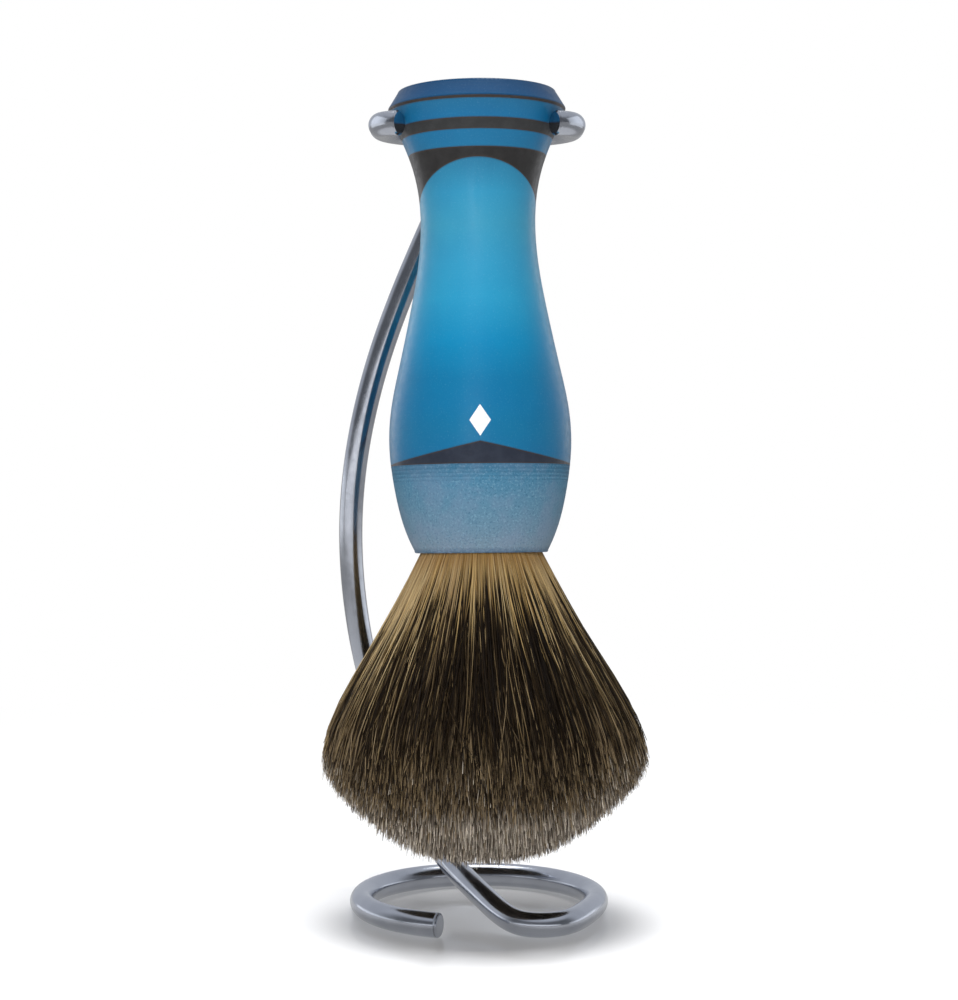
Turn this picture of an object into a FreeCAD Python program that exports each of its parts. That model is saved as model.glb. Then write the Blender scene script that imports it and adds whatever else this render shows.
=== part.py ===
import FreeCAD, Part
import Sketcher
import math
import os

# Shaving brush hanging hair-down in a bent-wire stand.
# World frame: origin on the table at the centre of the wire base ring,
# +Z up, +X to the right, +Y to the rear (the cradle opens towards -Y).
# Brush frame: origin on the brush axis at the level of the cradle, +Z towards the crown.

doc = FreeCAD.newDocument("hanging_brush_stand")
V = FreeCAD.Vector

# ---------------------------------------------------------------- dimensions
dims = doc.addObject("Spreadsheet::Sheet", "dims")
values = [
    # wire stand
    ("wire_dia", 4.0), ("ring_rad", 19.5), ("cradle_level", 129.45),
    ("cradle_x", -0.33), ("cradle_y", 0.5), ("cradle_rad", 15.55),
    ("cradle_straight", 4.4), ("hook_rad", 5.0), ("hook_turn", 62.0), ("hook_lead", 0.6),
    ("tip_chamfer", 0.25), ("bend_rad", 6.0), ("bend_x", 9.68), ("bend_y", -12.46),
    ("braze_rad", 2.5), ("braze_top", 0.9), ("braze_low", 3.6),
    # brush axis: tilt back and lean left, in degrees, and pivot height
    ("tilt_back", 4.5), ("lean_left", 0.6), ("pivot_x", -0.33), ("pivot_level", 129.7),
    # crown
    ("crown_top", 5.5), ("crown_flat_rad", 12.55), ("crown_rim_rad", 12.93), ("crown_rim_level", 5.2),
    ("crown_edge_rad", 14.38), ("crown_edge_up", 2.85), ("crown_edge_low", 2.35),
    # glue lines of the laminated handle, heights in the brush frame
    ("pinstripe_top", 2.55), ("pinstripe_low", 2.15), ("black_top", -0.7), ("black_low", -2.4),
    ("collar_top", -5.05), ("keel_level", -13.5), ("keel_half", 13.16),
    ("ridge_level", -51.96), ("joint_level", -55.5), ("ridge_half", 15.4),
    ("mouth_edge_level", -69.2), ("mouth_edge_rad", 10.88), ("mouth_rad", 10.5), ("mouth_level", -69.6),
    # socket for the hair knot
    ("socket_rad", 9.9), ("socket_floor", -57.0), ("bed_low", -57.8), ("bed_skirt", -63.0), ("plug_rad", 9.6),
    ("plug_low", -62.8), ("tie_low", -64.6), ("tie_rad", 9.6), ("tie_inner", 8.9),
    ("root_mouth_rad", 9.8),
    # hair
    ("hair_mouth_rad", 9.85), ("hair_tip_level", -119.75),
    # inlay
    ("inlay_level", -48.7), ("inlay_half_w", 1.7), ("inlay_half_h", 2.5), ("inlay_floor", 14.25),
]
# poles of the handle's outline (radius, height) below the crown's edge
handle_poles = [(14.38, 2.35), (13.776, 1.158), (12.706, -1.466), (10.818, -5.759), (9.562, -10.768),
                (9.186, -16.73), (9.796, -23.646), (11.317, -31.278), (12.95, -38.91), (14.651, -46.066),
                (14.991, -52.743), (13.937, -60.375), (12.632, -65.861), (10.88, -69.2)]
handle_knots = [0.0, 0.05, 0.11, 0.18, 0.26, 0.36, 0.47, 0.58, 0.68, 0.77, 0.86, 1.0]
# poles of the hair's outline: a straight fan, a round shoulder and a shallow dome
hair_poles = [(9.85, -69.6), (10.3, -70.7), (12.8, -75.2), (18.6, -85.4), (24.0, -94.6), (27.9, -101.2), (26.4, -105.9),
              (21.9, -111.2), (15.6, -116.6), (7.4, -119.75), (0.0, -119.75)]
for i, (pr, ph) in enumerate(handle_poles):
    values.append(("outline_rad_%s" % "abcdefghijklmn"[i], pr))
    values.append(("outline_level_%s" % "abcdefghijklmn"[i], ph))
for i, (pr, ph) in enumerate(hair_poles):
    values.append(("hair_rad_%s" % "abcdefghijk"[i], pr))
    values.append(("hair_level_%s" % "abcdefghijk"[i], ph))
for row, (alias, value) in enumerate(values, start=1):
    dims.set("A%d" % row, alias.replace("_", " "))
    dims.set("B%d" % row, "%g" % value)
    dims.setAlias("B%d" % row, alias)
doc.recompute()


def dim(alias):
    return float(dims.get(alias))


def plane(body, role):
    return [f for f in body.Origin.OriginFeatures if f.Role == role][0]


def new_body(name):
    body = doc.addObject("PartDesign::Body", name)
    body.Label = name
    return body


def new_sketch(body, name, role):
    sk = body.newObject("Sketcher::SketchObject", name)
    sk.AttachmentSupport = [(plane(body, role), "")]
    sk.MapMode = "FlatFace"
    return sk


def pin(sk, geo, pos, xs, ys, expr_x, expr_y):
    """Hold one sketch point at (xs, ys), each bound to the sheet."""
    def one(kind, value, expr):
        if expr is None:
            if abs(value) < 1e-9:
                # on the axis
                other = -2 if kind == "DistanceX" else -1
                sk.addConstraint(Sketcher.Constraint("PointOnObject", geo, pos, other))
                return
            expr_text = None
        else:
            expr_text = expr
        c = sk.addConstraint(Sketcher.Constraint(kind, -1, 1, geo, pos, value))
        if expr_text:
            sk.setExpression("Constraints[%d]" % c, expr_text)
    one("DistanceX", xs, expr_x)
    one("DistanceY", ys, expr_y)


def sketch_arc(a, m, b):
    """An anticlockwise arc through three points, and whether it starts at the first."""
    circle = Part.Arc(a, m, b).toShape().Curve
    centre, radius = circle.Center, circle.Radius
    forward = ((m - a).cross(b - m)).z > 0
    p, q = (a, b) if forward else (b, a)
    t0 = math.atan2(p.y - centre.y, p.x - centre.x)
    t1 = math.atan2(q.y - centre.y, q.x - centre.x)
    if t1 < t0:
        t1 += 2 * math.pi
    return Part.ArcOfCircle(Part.Circle(centre, V(0, 0, 1), radius), t0, t1), forward


def chain(sk, points, spline=None, arcs=()):
    """Closed outline from (x, y, expr_x, expr_y) points. arcs maps a segment's index to a bulge point.
    spline = (index, poles, knots, prefix) makes that segment a cubic with poles bound to the sheet."""
    n = len(points)
    ids = []
    for i in range(n):
        ax, ay = points[i][0], points[i][1]
        bx, by = points[(i + 1) % n][0], points[(i + 1) % n][1]
        if spline and spline[0] == i:
            poles = [V(x, y, 0) for x, y in spline[1]]
            knots = spline[2]
            mults = [4] + [1] * (len(knots) - 2) + [4]
            curve = Part.BSplineCurve()
            curve.buildFromPolesMultsKnots(poles, mults, knots, False, 3)
            g = sk.addGeometry(curve)
            for k, (x, y) in enumerate(spline[1]):
                c = sk.addGeometry(Part.Circle(V(x, y, 0), V(0, 0, 1), 1.0), True)
                sk.addConstraint(Sketcher.Constraint("InternalAlignment:Sketcher::BSplineControlPoint", c, 3, g, k))
                if k == 0:
                    sk.addConstraint(Sketcher.Constraint("Weight", c, 1.0))
                    first = c
                else:
                    sk.addConstraint(Sketcher.Constraint("Equal", first, c))
                if 0 < k < len(spline[1]) - 1:
                    letter = "abcdefghijklmn"[k]
                    pin(sk, c, 3, x, y, "dims.%s_rad_%s" % (spline[3], letter), "dims.%s_level_%s" % (spline[3], letter))
            ids.append((g, 1, 2))
        elif i in arcs:
            arc, forward = sketch_arc(V(ax, ay, 0), V(arcs[i][0], arcs[i][1], 0), V(bx, by, 0))
            g = sk.addGeometry(arc)
            ids.append((g, 1, 2) if forward else (g, 2, 1))
        else:
            g = sk.addGeometry(Part.LineSegment(V(ax, ay, 0), V(bx, by, 0)))
            ids.append((g, 1, 2))
    for i in range(n):
        j = (i + 1) % n
        sk.addConstraint(Sketcher.Constraint("Coincident", ids[i][0], ids[i][2], ids[j][0], ids[j][1]))
    for i in range(n):
        pin(sk, ids[i][0], ids[i][1], points[i][0], points[i][1], points[i][2], points[i][3])
    return ids


def revolve(body, sk, name):
    rev = body.newObject("PartDesign::Revolution", name)
    rev.Profile = sk
    rev.ReferenceAxis = (sk, ["V_Axis"])
    rev.Angle = 360.0
    doc.recompute()
    return rev


def pt(ax, ay):
    """A sketch point from two aliases, or None for an axis."""
    x = dim(ax) if ax else 0.0
    y = dim(ay) if ay else 0.0
    return (x, y, "dims.%s" % ax if ax else None, "dims.%s" % ay if ay else None)


def cylinder_body(name, outline):
    body = new_body(name)
    sk = new_sketch(body, name + "_outline", "XZ_Plane")
    chain(sk, outline)
    revolve(body, sk, name + "_turned")
    return body


# The brush leans back a little, as it hangs against the rear of the cradle.
back = math.radians(dim("tilt_back"))
left = math.radians(dim("lean_left"))
up = V(-math.sin(left), math.sin(back), 1.0)
up.normalize()
side = V(1, 0, 0) - up * up.x
side.normalize()
rear = up.cross(side)
turn = FreeCAD.Rotation(side, rear, up, "ZXY")
pivot = V(dim("pivot_x"), 0, dim("pivot_level"))
brush_place = FreeCAD.Placement(pivot, turn)

# ---------------------------------------------------------------- handle blank
# The laminated blank is turned in one go, so all its layers share one outline.
blank = new_body("handle_blank")
blank_sk = new_sketch(blank, "handle_outline", "XZ_Plane")
poles = [(dim("outline_rad_%s" % "abcdefghijklmn"[i]), dim("outline_level_%s" % "abcdefghijklmn"[i]))
         for i in range(len(handle_poles))]
outline = [
    pt(None, "crown_top"),
    pt("crown_flat_rad", "crown_top"),
    pt("crown_rim_rad", "crown_rim_level"),
    pt("crown_edge_rad", "crown_edge_up"),
    pt("crown_edge_rad", "crown_edge_low"),
    pt("mouth_edge_rad", "mouth_edge_level"),
    pt("mouth_rad", "mouth_level"),
    pt(None, "mouth_level"),
]
chain(blank_sk, outline, spline=(4, poles, handle_knots, "outline"),
      arcs={1: (dim("crown_flat_rad") + 0.27, dim("crown_top") - 0.09),
            3: (dim("crown_edge_rad") + 0.09, (dim("crown_edge_up") + dim("crown_edge_low")) / 2),
            5: (dim("mouth_edge_rad") - 0.08, dim("mouth_level") + 0.12)})
revolve(blank, blank_sk, "handle_turned")


def slab(name, top, low):
    box = doc.addObject("Part::Box", name)
    box.Length = 60
    box.Width = 60
    box.setExpression("Height", "dims.%s - dims.%s" % (top, low))
    box.Placement.Base = V(-30, -30, dim(low))
    box.setExpression("Placement.Base.z", "dims.%s" % low)
    return box


def common(name, base, tool):
    c = doc.addObject("Part::Common", name)
    c.Base = base
    c.Tool = tool
    c.Label = name
    return c


def cut(name, base, tool):
    c = doc.addObject("Part::Cut", name)
    c.Base = base
    c.Tool = tool
    c.Label = name
    return c


def prism(name, role, points, length):
    body = new_body(name)
    sk = new_sketch(body, name + "_section", role)
    chain(sk, points)
    pad = body.newObject("PartDesign::Pad", name + "_pad")
    pad.Profile = sk
    pad.Length = length
    pad.Midplane = True
    doc.recompute()
    return body


def neg(point):
    return (-point[0], point[1], "-" + point[2], point[3])


# keel: the black collar's underside is a V whose edge runs from side to side
keel = prism("collar_keel", "YZ_Plane",
             [pt(None, "keel_level"), pt("keel_half", "collar_top"), neg(pt("keel_half", "collar_top"))], 60.0)
# ridge: the black wedge above the socket has a roof whose ridge runs front to rear
ridge = prism("wedge_ridge", "XZ_Plane",
              [pt(None, "ridge_level"), neg(pt("ridge_half", "joint_level")), pt("ridge_half", "joint_level")], 60.0)
# lozenge for the inlay, standing on the front of the grip
lozenge = new_body("inlay_lozenge")
loz_sk = new_sketch(lozenge, "inlay_section", "XZ_Plane")
loz_pts = [
    (0.0, dim("inlay_level") + dim("inlay_half_h"), None, "dims.inlay_level + dims.inlay_half_h"),
    (dim("inlay_half_w"), dim("inlay_level"), "dims.inlay_half_w", "dims.inlay_level"),
    (0.0, dim("inlay_level") - dim("inlay_half_h"), None, "dims.inlay_level - dims.inlay_half_h"),
    (-dim("inlay_half_w"), dim("inlay_level"), "-dims.inlay_half_w", "dims.inlay_level"),
]
chain(loz_sk, loz_pts)
loz_pad = lozenge.newObject("PartDesign::Pad", "inlay_pad")
loz_pad.Profile = loz_sk
loz_pad.Length = 22.0
doc.recompute()
if loz_pad.Shape.BoundBox.YMax > 1.0:
    loz_pad.Reversed = True
    doc.recompute()
front = doc.addObject("Part::Box", "inlay_front")
front.Length = 60
front.Width = 10
front.Height = 60
front.Placement.Base = V(-30, -24.25, -80)
front.setExpression("Placement.Base.y", "-dims.inlay_floor - 10")

parts = {}

parts["crown_cap"] = common("crown_cap", blank, slab("slab_crown", "crown_top", "pinstripe_top"))
parts["crown_pinstripe"] = common("crown_pinstripe", blank, slab("slab_pinstripe", "pinstripe_top", "pinstripe_low"))
parts["upper_blue_band"] = common("upper_blue_band", blank, slab("slab_upper", "pinstripe_low", "black_top"))
parts["black_band"] = common("black_band", blank, slab("slab_black", "black_top", "black_low"))
parts["lower_blue_band"] = common("lower_blue_band", blank, slab("slab_lower", "black_low", "collar_top"))
parts["neck_collar"] = common("neck_collar", blank, keel)
parts["chevron_wedge"] = common("chevron_wedge", blank, ridge)
inlay_block = common("inlay_block", lozenge, front)
# the inlay's pocket is sunk in the turned blank before the layers are parted
blank_pocketed = cut("blank_pocketed", blank, inlay_block)
grip_turned = common("grip_turned", blank_pocketed, slab("slab_grip", "collar_top", "joint_level"))
grip_keeled = cut("grip_keeled", grip_turned, keel)
doc.recompute()
parts["grip_inlay"] = common("grip_inlay", blank, inlay_block)
parts["grip_body"] = cut("grip_body", grip_keeled, ridge)
bore = doc.addObject("Part::Cylinder", "socket_bore")
bore.setExpression("Radius", "dims.socket_rad")
bore.Height = 20
bore.setExpression("Height", "dims.socket_floor - dims.mouth_level + 1")
bore.Placement.Base = V(0, 0, dim("mouth_level") - 1)
bore.setExpression("Placement.Base.z", "dims.mouth_level - 1")
ferrule_blank = common("ferrule_blank", blank, slab("slab_ferrule", "joint_level", "mouth_level"))
parts["knot_socket"] = cut("knot_socket", ferrule_blank, bore)

# ---------------------------------------------------------------- hair knot and what holds it
parts["socket_glue"] = cylinder_body("socket_glue", [
    pt(None, "socket_floor"), pt("socket_rad", "socket_floor"), pt("socket_rad", "bed_skirt"),
    pt("plug_rad", "bed_skirt"), pt("plug_rad", "bed_low"), pt(None, "bed_low")])
parts["knot_plug"] = cylinder_body("knot_plug", [
    pt(None, "bed_low"), pt("plug_rad", "bed_low"), pt("plug_rad", "plug_low"), pt(None, "plug_low")])
parts["knot_binding"] = cylinder_body("knot_binding", [
    pt("tie_inner", "plug_low"), pt("tie_rad", "plug_low"), pt("tie_rad", "tie_low"), pt("tie_inner", "tie_low")])
parts["hair_root_bundle"] = cylinder_body("hair_root_bundle", [
    pt(None, "plug_low"), pt("tie_inner", "plug_low"), pt("tie_inner", "tie_low"), pt("tie_rad", "tie_low"),
    pt("root_mouth_rad", "mouth_level"), pt(None, "mouth_level")])
hair = new_body("hair_knot")
hair_sk = new_sketch(hair, "hair_outline", "XZ_Plane")
hpoles = [(dim("hair_rad_%s" % "abcdefghijk"[i]), dim("hair_level_%s" % "abcdefghijk"[i]))
          for i in range(len(hair_poles))]
nh = len(hpoles)
hknots = [i / float(nh - 3) for i in range(nh - 2)]
chain(hair_sk, [pt(None, "mouth_level"), pt("hair_mouth_rad", "mouth_level"), pt(None, "hair_tip_level")],
      spline=(1, hpoles, hknots, "hair"))
revolve(hair, hair_sk, "hair_turned")
parts["hair_knot"] = hair

for name in list(parts):
    parts[name].Placement = brush_place

# ---------------------------------------------------------------- cradle: a hooked U of wire, open at the front
cradle = new_body("cradle_fork")
spine = new_sketch(cradle, "cradle_path", "XY_Plane")
R, L, Rh = dim("cradle_rad"), dim("cradle_straight"), dim("hook_rad")
w = math.radians(dim("hook_turn"))
lead = dim("hook_lead")
p0, p1, p2 = V(0, R, 0), V(-R, 0, 0), V(-R, -L, 0)
hc = V(-R + Rh, -L, 0)
p3 = hc + V(-math.cos(w), -math.sin(w), 0) * Rh
pm = hc + V(-math.cos(w / 2), -math.sin(w / 2), 0) * Rh
p4 = p3 + V(math.sin(w), -math.cos(w), 0) * lead
arc0, fwd0 = sketch_arc(p0, V(-R * math.sin(math.pi / 4), R * math.cos(math.pi / 4), 0), p1)
arc2, fwd2 = sketch_arc(p2, pm, p3)
a0 = spine.addGeometry(arc0)
a1 = spine.addGeometry(Part.LineSegment(p1, p2))
a2 = spine.addGeometry(arc2)
a3 = spine.addGeometry(Part.LineSegment(p3, p4))
e0 = (1, 2) if fwd0 else (2, 1)
e2 = (1, 2) if fwd2 else (2, 1)
spine.addConstraint(Sketcher.Constraint("Coincident", a0, e0[1], a1, 1))
spine.addConstraint(Sketcher.Constraint("Coincident", a0, 3, -1, 1))
spine.addConstraint(Sketcher.Constraint("PointOnObject", a0, e0[0], -2))
spine.addConstraint(Sketcher.Constraint("Vertical", a1))
spine.addConstraint(Sketcher.Constraint("Tangent", a1, 2, a2, e2[0]))
spine.addConstraint(Sketcher.Constraint("Tangent", a2, e2[1], a3, 1))
spine.addConstraint(Sketcher.Constraint("PointOnObject", a1, 1, -1))
c = spine.addConstraint(Sketcher.Constraint("Radius", a0, R))
spine.setExpression("Constraints[%d]" % c, "dims.cradle_rad")
c = spine.addConstraint(Sketcher.Constraint("Distance", a1, L))
spine.setExpression("Constraints[%d]" % c, "dims.cradle_straight")
c = spine.addConstraint(Sketcher.Constraint("Radius", a2, Rh))
spine.setExpression("Constraints[%d]" % c, "dims.hook_rad")
c = spine.addConstraint(Sketcher.Constraint("Distance", a3, lead))
spine.setExpression("Constraints[%d]" % c, "dims.hook_lead")
doc.recompute()
wire_sk = new_sketch(cradle, "cradle_wire", "YZ_Plane")
wc = wire_sk.addGeometry(Part.Circle(V(R, 0, 0), V(0, 0, 1), dim("wire_dia") / 2))
c = wire_sk.addConstraint(Sketcher.Constraint("Radius", wc, dim("wire_dia") / 2))
wire_sk.setExpression("Constraints[%d]" % c, "dims.wire_dia / 2")
pin(wire_sk, wc, 3, R, 0.0, "dims.cradle_rad", None)
pipe = cradle.newObject("PartDesign::AdditivePipe", "cradle_half")
pipe.Profile = wire_sk
pipe.Spine = spine
doc.recompute()
mirror = cradle.newObject("PartDesign::Mirrored", "cradle_whole")
mirror.Originals = [pipe]
mirror.MirrorPlane = (plane(cradle, "YZ_Plane"), [""])
cradle.Tip = mirror
doc.recompute()
tips = []
for i, edge in enumerate(mirror.Shape.Edges, start=1):
    try:
        mid = edge.CenterOfMass
        if isinstance(edge.Curve, Part.Circle) and abs(edge.Curve.Radius - dim("wire_dia") / 2) < 1e-4 \
                and (mid - V(math.copysign(p4.x, mid.x), p4.y, 0)).Length < 0.05:
            tips.append("Edge%d" % i)
    except Exception:
        pass
print("tip edges", tips)
cham = cradle.newObject("PartDesign::Chamfer", "cradle_tips")
cham.Base = (mirror, tips)
cham.Size = dim("tip_chamfer")
cham.setExpression("Size", "dims.tip_chamfer")
cradle.Tip = cham
doc.recompute()
cradle.Placement = FreeCAD.Placement(V(dim("cradle_x"), dim("cradle_y"), dim("cradle_level")), FreeCAD.Rotation())

# ---------------------------------------------------------------- stand rod: upright and base ring, one wire
# Points of the wire's centre line from the cradle down to the ring's free end.
rr = dim("ring_rad")
h0 = dim("wire_dia") / 2
route = [
    V(-1.0, dim("cradle_y") + math.sqrt(dim("cradle_rad") ** 2 - 0.67 ** 2), dim("cradle_level") - 0.5),
    V(-5.6, 15.9, 119.9),
    V(-9.7, 15.9, 110.9),
    V(-13.4, 16.0, 102.2),
    V(-16.6, 16.1, 93.6),
    V(-19.2, 16.4, 84.6),
    V(-21.1, 16.7, 75.2),
    V(-22.1, 17.0, 65.4),
    V(-22.0, 17.2, 55.6),
    V(-20.9, 17.5, 45.9),
    V(-19.1, 17.8, 37.0),
    V(-16.8, 17.7, 28.9),
    V(-13.9, 16.5, 21.4),
    V(-10.6, 13.8, 14.7),
    V(-7.3, 9.7, 9.6),
    V(-4.2, 4.2, 6.4),
    V(-1.0, -3.1, 4.8),
]
# the tight bend at the front, where the slanting wire turns flat into the ring
bend_rad = dim("bend_rad")
bend_c = V(dim("bend_x"), dim("bend_y"), h0)
half = math.radians(131.0 / 6)
for heading in (-44.2, -0.5, 43.2):
    hd = math.radians(heading)
    route.append(bend_c + V(math.sin(hd), -math.cos(hd), 0) * (bend_rad / math.cos(half)))
route.append(V(17.25, -10.4, h0))
a_first, a_last = -16.4, 251.5
count = 14
step = math.radians((a_last - a_first) / count)
for i in range(count):
    ang = math.radians(a_first) + step * (i + 0.5)
    rp = rr / math.cos(step / 2)
    route.append(V(rp * math.cos(ang), rp * math.sin(ang), h0))
ang = math.radians(a_last)
route.append(V(rr * math.cos(ang), rr * math.sin(ang), h0))


def wire_path(points, share=0.485):
    """Straight runs joined by arcs as large as the runs allow."""
    edges = []
    radii = []
    here = points[0]
    for i in range(1, len(points) - 1):
        a, b, c = points[i - 1], points[i], points[i + 1]
        u, v = (b - a), (c - b)
        lu, lv = u.Length, v.Length
        u.normalize()
        v.normalize()
        turn_angle = u.getAngle(v)
        if turn_angle < 1e-3:
            continue
        leg = share * min(lu, lv)
        radius = leg / math.tan(turn_angle / 2)
        s, e = b - u * leg, b + v * leg
        inward = (v - u)
        inward.normalize()
        centre = b + inward * (radius / math.cos(turn_angle / 2))
        mid = centre - inward * radius
        if (s - here).Length > 1e-6:
            edges.append(Part.LineSegment(here, s).toShape())
        edges.append(Part.Arc(s, mid, e).toShape())
        radii.append(radius)
        here = e
    edges.append(Part.LineSegment(here, points[-1]).toShape())
    return Part.Wire(edges), radii


path, radii = wire_path(route)
print("stand rod bend radii mm", ["%.1f" % r for r in radii])
start = route[0]
along = route[1] - route[0]
along.normalize()
circle = Part.Wire([Part.Circle(start, along, dim("wire_dia") / 2).toShape()])
tube = path.makePipeShell([circle], True, False, 2)
expected = math.pi * (dim("wire_dia") / 2) ** 2 * path.Length
print("stand rod length %.1f volume %.1f expected %.1f valid %s" % (path.Length, tube.Volume, expected, tube.isValid()))
if tube.Volume < 0:
    tube = tube.reversed()
end_edges = [e for e in tube.Edges if isinstance(e.Curve, Part.Circle)
             and (e.CenterOfMass - route[-1]).Length < 0.05]
try:
    softened = tube.makeChamfer(dim("tip_chamfer"), end_edges)
    if softened.isValid() and softened.Volume > 0.99 * tube.Volume:
        tube = softened
except Exception as err:
    print("ring end chamfer not made", err)
rod_blank = doc.addObject("Part::Feature", "stand_rod_blank")
rod_blank.Shape = tube
doc.recompute()
# the rod's top end is coped to the cradle's wire
stand_rod = cut("stand_rod", rod_blank, cradle)
doc.recompute()

# braze fillet round the rod under the cradle
braze_blank = new_body("braze_cone")
bz = new_sketch(braze_blank, "braze_outline", "XZ_Plane")
chain(bz, [
    (dim("wire_dia") / 2, dim("braze_top"), "dims.wire_dia / 2", "dims.braze_top"),
    (dim("braze_rad"), dim("braze_top"), "dims.braze_rad", "dims.braze_top"),
    (dim("braze_rad"), 1.7, "dims.braze_rad", None),
    (dim("wire_dia") / 2 + 0.05, dim("braze_low"), "dims.wire_dia / 2 + 0.05", "dims.braze_low"),
    (dim("wire_dia") / 2, dim("braze_low"), "dims.wire_dia / 2", "dims.braze_low"),
], arcs={2: (2.2, 2.25)})
revolve(braze_blank, bz, "braze_turned")
braze_blank.Placement = FreeCAD.Placement(start, FreeCAD.Rotation(V(0, 0, 1), along))
braze_off_cradle = cut("cradle_braze", braze_blank, cradle)
doc.recompute()

parts["cradle_fork"] = cradle
parts["stand_rod"] = stand_rod
parts["cradle_braze"] = braze_off_cradle

# ---------------------------------------------------------------- checks and export
doc.recompute()
bad = []
for obj in doc.Objects:
    if "Invalid" in obj.State or "Error" in obj.State:
        bad.append(obj.Name + " " + ",".join(obj.State))
if bad:
    raise RuntimeError("objects failed: " + "; ".join(bad))
os.makedirs("parts", exist_ok=True)
shapes = {}
for name, obj in parts.items():
    shape = obj.Shape
    if shape.isNull() or not shape.isValid() or len(shape.Solids) < 1:
        raise RuntimeError("bad shape: " + name)
    if len(shape.Solids) != 1:
        print("note", name, "has", len(shape.Solids), "solids")
    shapes[name] = shape
for name, shape in shapes.items():
    shape.exportStep(os.path.join("parts", name + ".step"))
    bb = shape.BoundBox
    print("%-18s vol %9.1f  x %.2f..%.2f  y %.2f..%.2f  z %.2f..%.2f" % (
        name, shape.Volume, bb.XMin, bb.XMax, bb.YMin, bb.YMax, bb.ZMin, bb.ZMax))
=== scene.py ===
"""Looks for the hair brush in its bent wire stand: materials, hair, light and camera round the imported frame."""

import math

import bpy
import numpy as np
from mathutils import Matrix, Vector


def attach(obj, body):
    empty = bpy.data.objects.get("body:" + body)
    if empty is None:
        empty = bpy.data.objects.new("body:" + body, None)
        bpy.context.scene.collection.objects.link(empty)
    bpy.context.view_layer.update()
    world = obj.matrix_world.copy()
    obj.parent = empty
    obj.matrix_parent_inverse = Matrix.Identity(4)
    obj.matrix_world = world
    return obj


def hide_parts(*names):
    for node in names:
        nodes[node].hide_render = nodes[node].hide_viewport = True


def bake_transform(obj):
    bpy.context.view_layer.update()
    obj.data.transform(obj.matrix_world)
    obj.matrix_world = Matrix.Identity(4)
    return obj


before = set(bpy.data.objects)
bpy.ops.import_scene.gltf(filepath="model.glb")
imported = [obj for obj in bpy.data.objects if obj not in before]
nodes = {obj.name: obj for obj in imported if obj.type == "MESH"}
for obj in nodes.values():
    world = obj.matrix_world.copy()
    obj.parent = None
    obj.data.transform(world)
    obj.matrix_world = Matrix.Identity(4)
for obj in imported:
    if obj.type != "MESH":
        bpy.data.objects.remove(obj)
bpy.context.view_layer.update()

scene = bpy.context.scene

# ---------------------------------------------------------------- the brush's own frame, in mm
PIVOT = np.array([-0.33, 0.0, 129.7])
UP = np.array([-0.01043913, 0.07821445, 0.9968819])
SIDE = np.array([0.9999455, 0.00081654, 0.01040715])
REAR = np.array([0.0, 0.99693622, -0.07821871])
MOUTH = -69.6
TIP = -119.8


def brush_to_world(x, y, h):
    """Points given across, to the rear and up the brush in mm, as metres in the row frame."""
    p = PIVOT + np.asarray(x)[..., None] * SIDE + np.asarray(y)[..., None] * REAR + np.asarray(h)[..., None] * UP
    return p / 1000.0


# ---------------------------------------------------------------- node helpers
def lin(r, g, b):
    """An sRGB colour, 0 to 255, as linear RGBA."""
    out = []
    for c in (r, g, b):
        c = c / 255.0
        out.append(c / 12.92 if c <= 0.04045 else ((c + 0.055) / 1.055) ** 2.4)
    return (*out, 1.0)


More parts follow.
